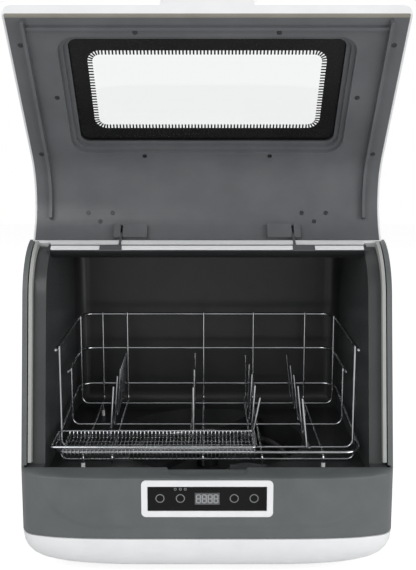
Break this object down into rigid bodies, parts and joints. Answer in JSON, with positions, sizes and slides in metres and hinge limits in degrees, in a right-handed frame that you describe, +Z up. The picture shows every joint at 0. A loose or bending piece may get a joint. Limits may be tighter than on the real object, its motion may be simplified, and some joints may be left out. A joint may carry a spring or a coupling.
{
  "type": "countertop dishwasher",
  "caption": "Small white and grey countertop dishwasher with a curved flip-up lid and window, a wire rack with a cutlery tray, a spray arm and touch controls below the door.",
  "frame": {"origin": "middle of the bounding box, under the feet, with the lid open", "axes": "+Z up, the control panel faces -Y, +X to the right seen from the front"},
  "size_m": [0.43, 0.4, 0.6537],
  "materials": {
    "white_abs": "satin white moulded plastic",
    "grey_abs": "satin mid grey moulded plastic",
    "liner_grey": "satin dark grey moulded plastic",
    "dark_pp": "fine grained dark polypropylene",
    "rubber": "soft grey rubber",
    "steel": "bright drawn stainless steel",
    "natural_pp": "unfilled off-white plastic",
    "black_pp": "black moulded plastic",
    "smoked_glass": "tempered glass with a black printed border",
    "touch_glass": "glossy black touch panel",
    "circuit_board": "green lacquered circuit board"
  },
  "bodies": {
    "body": {"base_pan": "white_abs", "front_panel": "grey_abs", "left_side_panel": "grey_abs", "right_side_panel": "grey_abs", "rear_panel": "grey_abs", "top_cover": "white_abs", "top_lip": "white_abs", "tub_floor": "dark_pp", "tub_well": "dark_pp", "tub_shell": "dark_pp", "tub_sides": "dark_pp", "door_seal": "rubber", "hinge_brackets": "liner_grey", "control_bezel": "white_abs", "touch_panel": "touch_glass", "display_module": "dark_pp", "control_board": "circuit_board", "sump": "dark_pp", "wash_pump": "black_pp", "drain_pump": "black_pp", "heater": "steel", "spray_hub": "dark_pp", "inlet_valve": "natural_pp", "drain_spigot": "natural_pp", "air_break": "natural_pp", "fill_hose": "rubber", "drain_hose": "rubber", "power_board": "circuit_board", "cord_gland": "rubber", "air_duct": "dark_pp", "fan_housing": "dark_pp", "float_switch": "black_pp", "lid_switch": "black_pp", "rubber_feet": "rubber", "body_screws": "steel", "spray_cap": "dark_pp"},
    "lid": {"lid_shell": "white_abs", "lid_liner": "liner_grey", "lid_glass": "smoked_glass", "glass_gasket": "rubber", "lid_handle": "white_abs", "lid_edge_seal": "rubber", "hinge_boxes": "liner_grey", "hinge_pins": "steel", "liner_screws": "steel", "lid_magnet": "steel"},
    "spray": {"spray_arm": "dark_pp"},
    "rack": {"rack_rails": "steel", "rack_cross_wires": "steel", "rack_long_wires": "steel", "plate_tines": "steel", "bowl_tines": "steel", "rack_feet": "white_abs"},
    "tray": {"tray_rim": "steel", "tray_net": "steel"},
    "filter": {"filter_plate": "steel"},
    "filter_core": {"filter_cup": "grey_abs"},
    "fan": {"fan_rotor": "black_pp"},
    "pump": {"pump_rotor": "natural_pp"},
    "float": {"float_cup": "white_abs"}
  },
  "joints": [
    {"name": "lid_hinge", "type": "hinge", "parent": "body", "child": "lid", "pos_m": [0, -0.0558, 0.38705], "axis": [-1, 0, 0], "range_deg": [-127.6, 0]},
    {"name": "rack_slide", "type": "slide", "parent": "body", "child": "rack", "axis": [0, -0.848, 0.5299], "range_m": [0, 0.175]},
    {"name": "tray_lift", "type": "slide", "parent": "rack", "child": "tray", "axis": [0, 0, 1], "range_m": [0, 0.1]},
    {"name": "spray_spin", "type": "hinge", "parent": "body", "child": "spray", "pos_m": [0, -0.0308, 0.108], "axis": [0, 0, 1], "continuous": true},
    {"name": "filter_lift", "type": "slide", "parent": "body", "child": "filter", "axis": [0, 0, 1], "range_m": [0, 0.03]},
    {"name": "filter_turn", "type": "hinge", "parent": "filter", "child": "filter_core", "pos_m": [0.052, -0.0788, 0.085], "axis": [0, 0, 1], "range_deg": [0, 45]},
    {"name": "fan_spin", "type": "hinge", "parent": "body", "child": "fan", "pos_m": [0.09, 0.19, 0.3], "axis": [0, 1, 0], "continuous": true},
    {"name": "pump_spin", "type": "hinge", "parent": "body", "child": "pump", "pos_m": [-0.09, -0.0588, 0.042], "axis": [1, 0, 0], "continuous": true},
    {"name": "float_rise", "type": "slide", "parent": "body", "child": "float", "axis": [0, 0, 1], "range_m": [0, 0.006]}
  ]
}
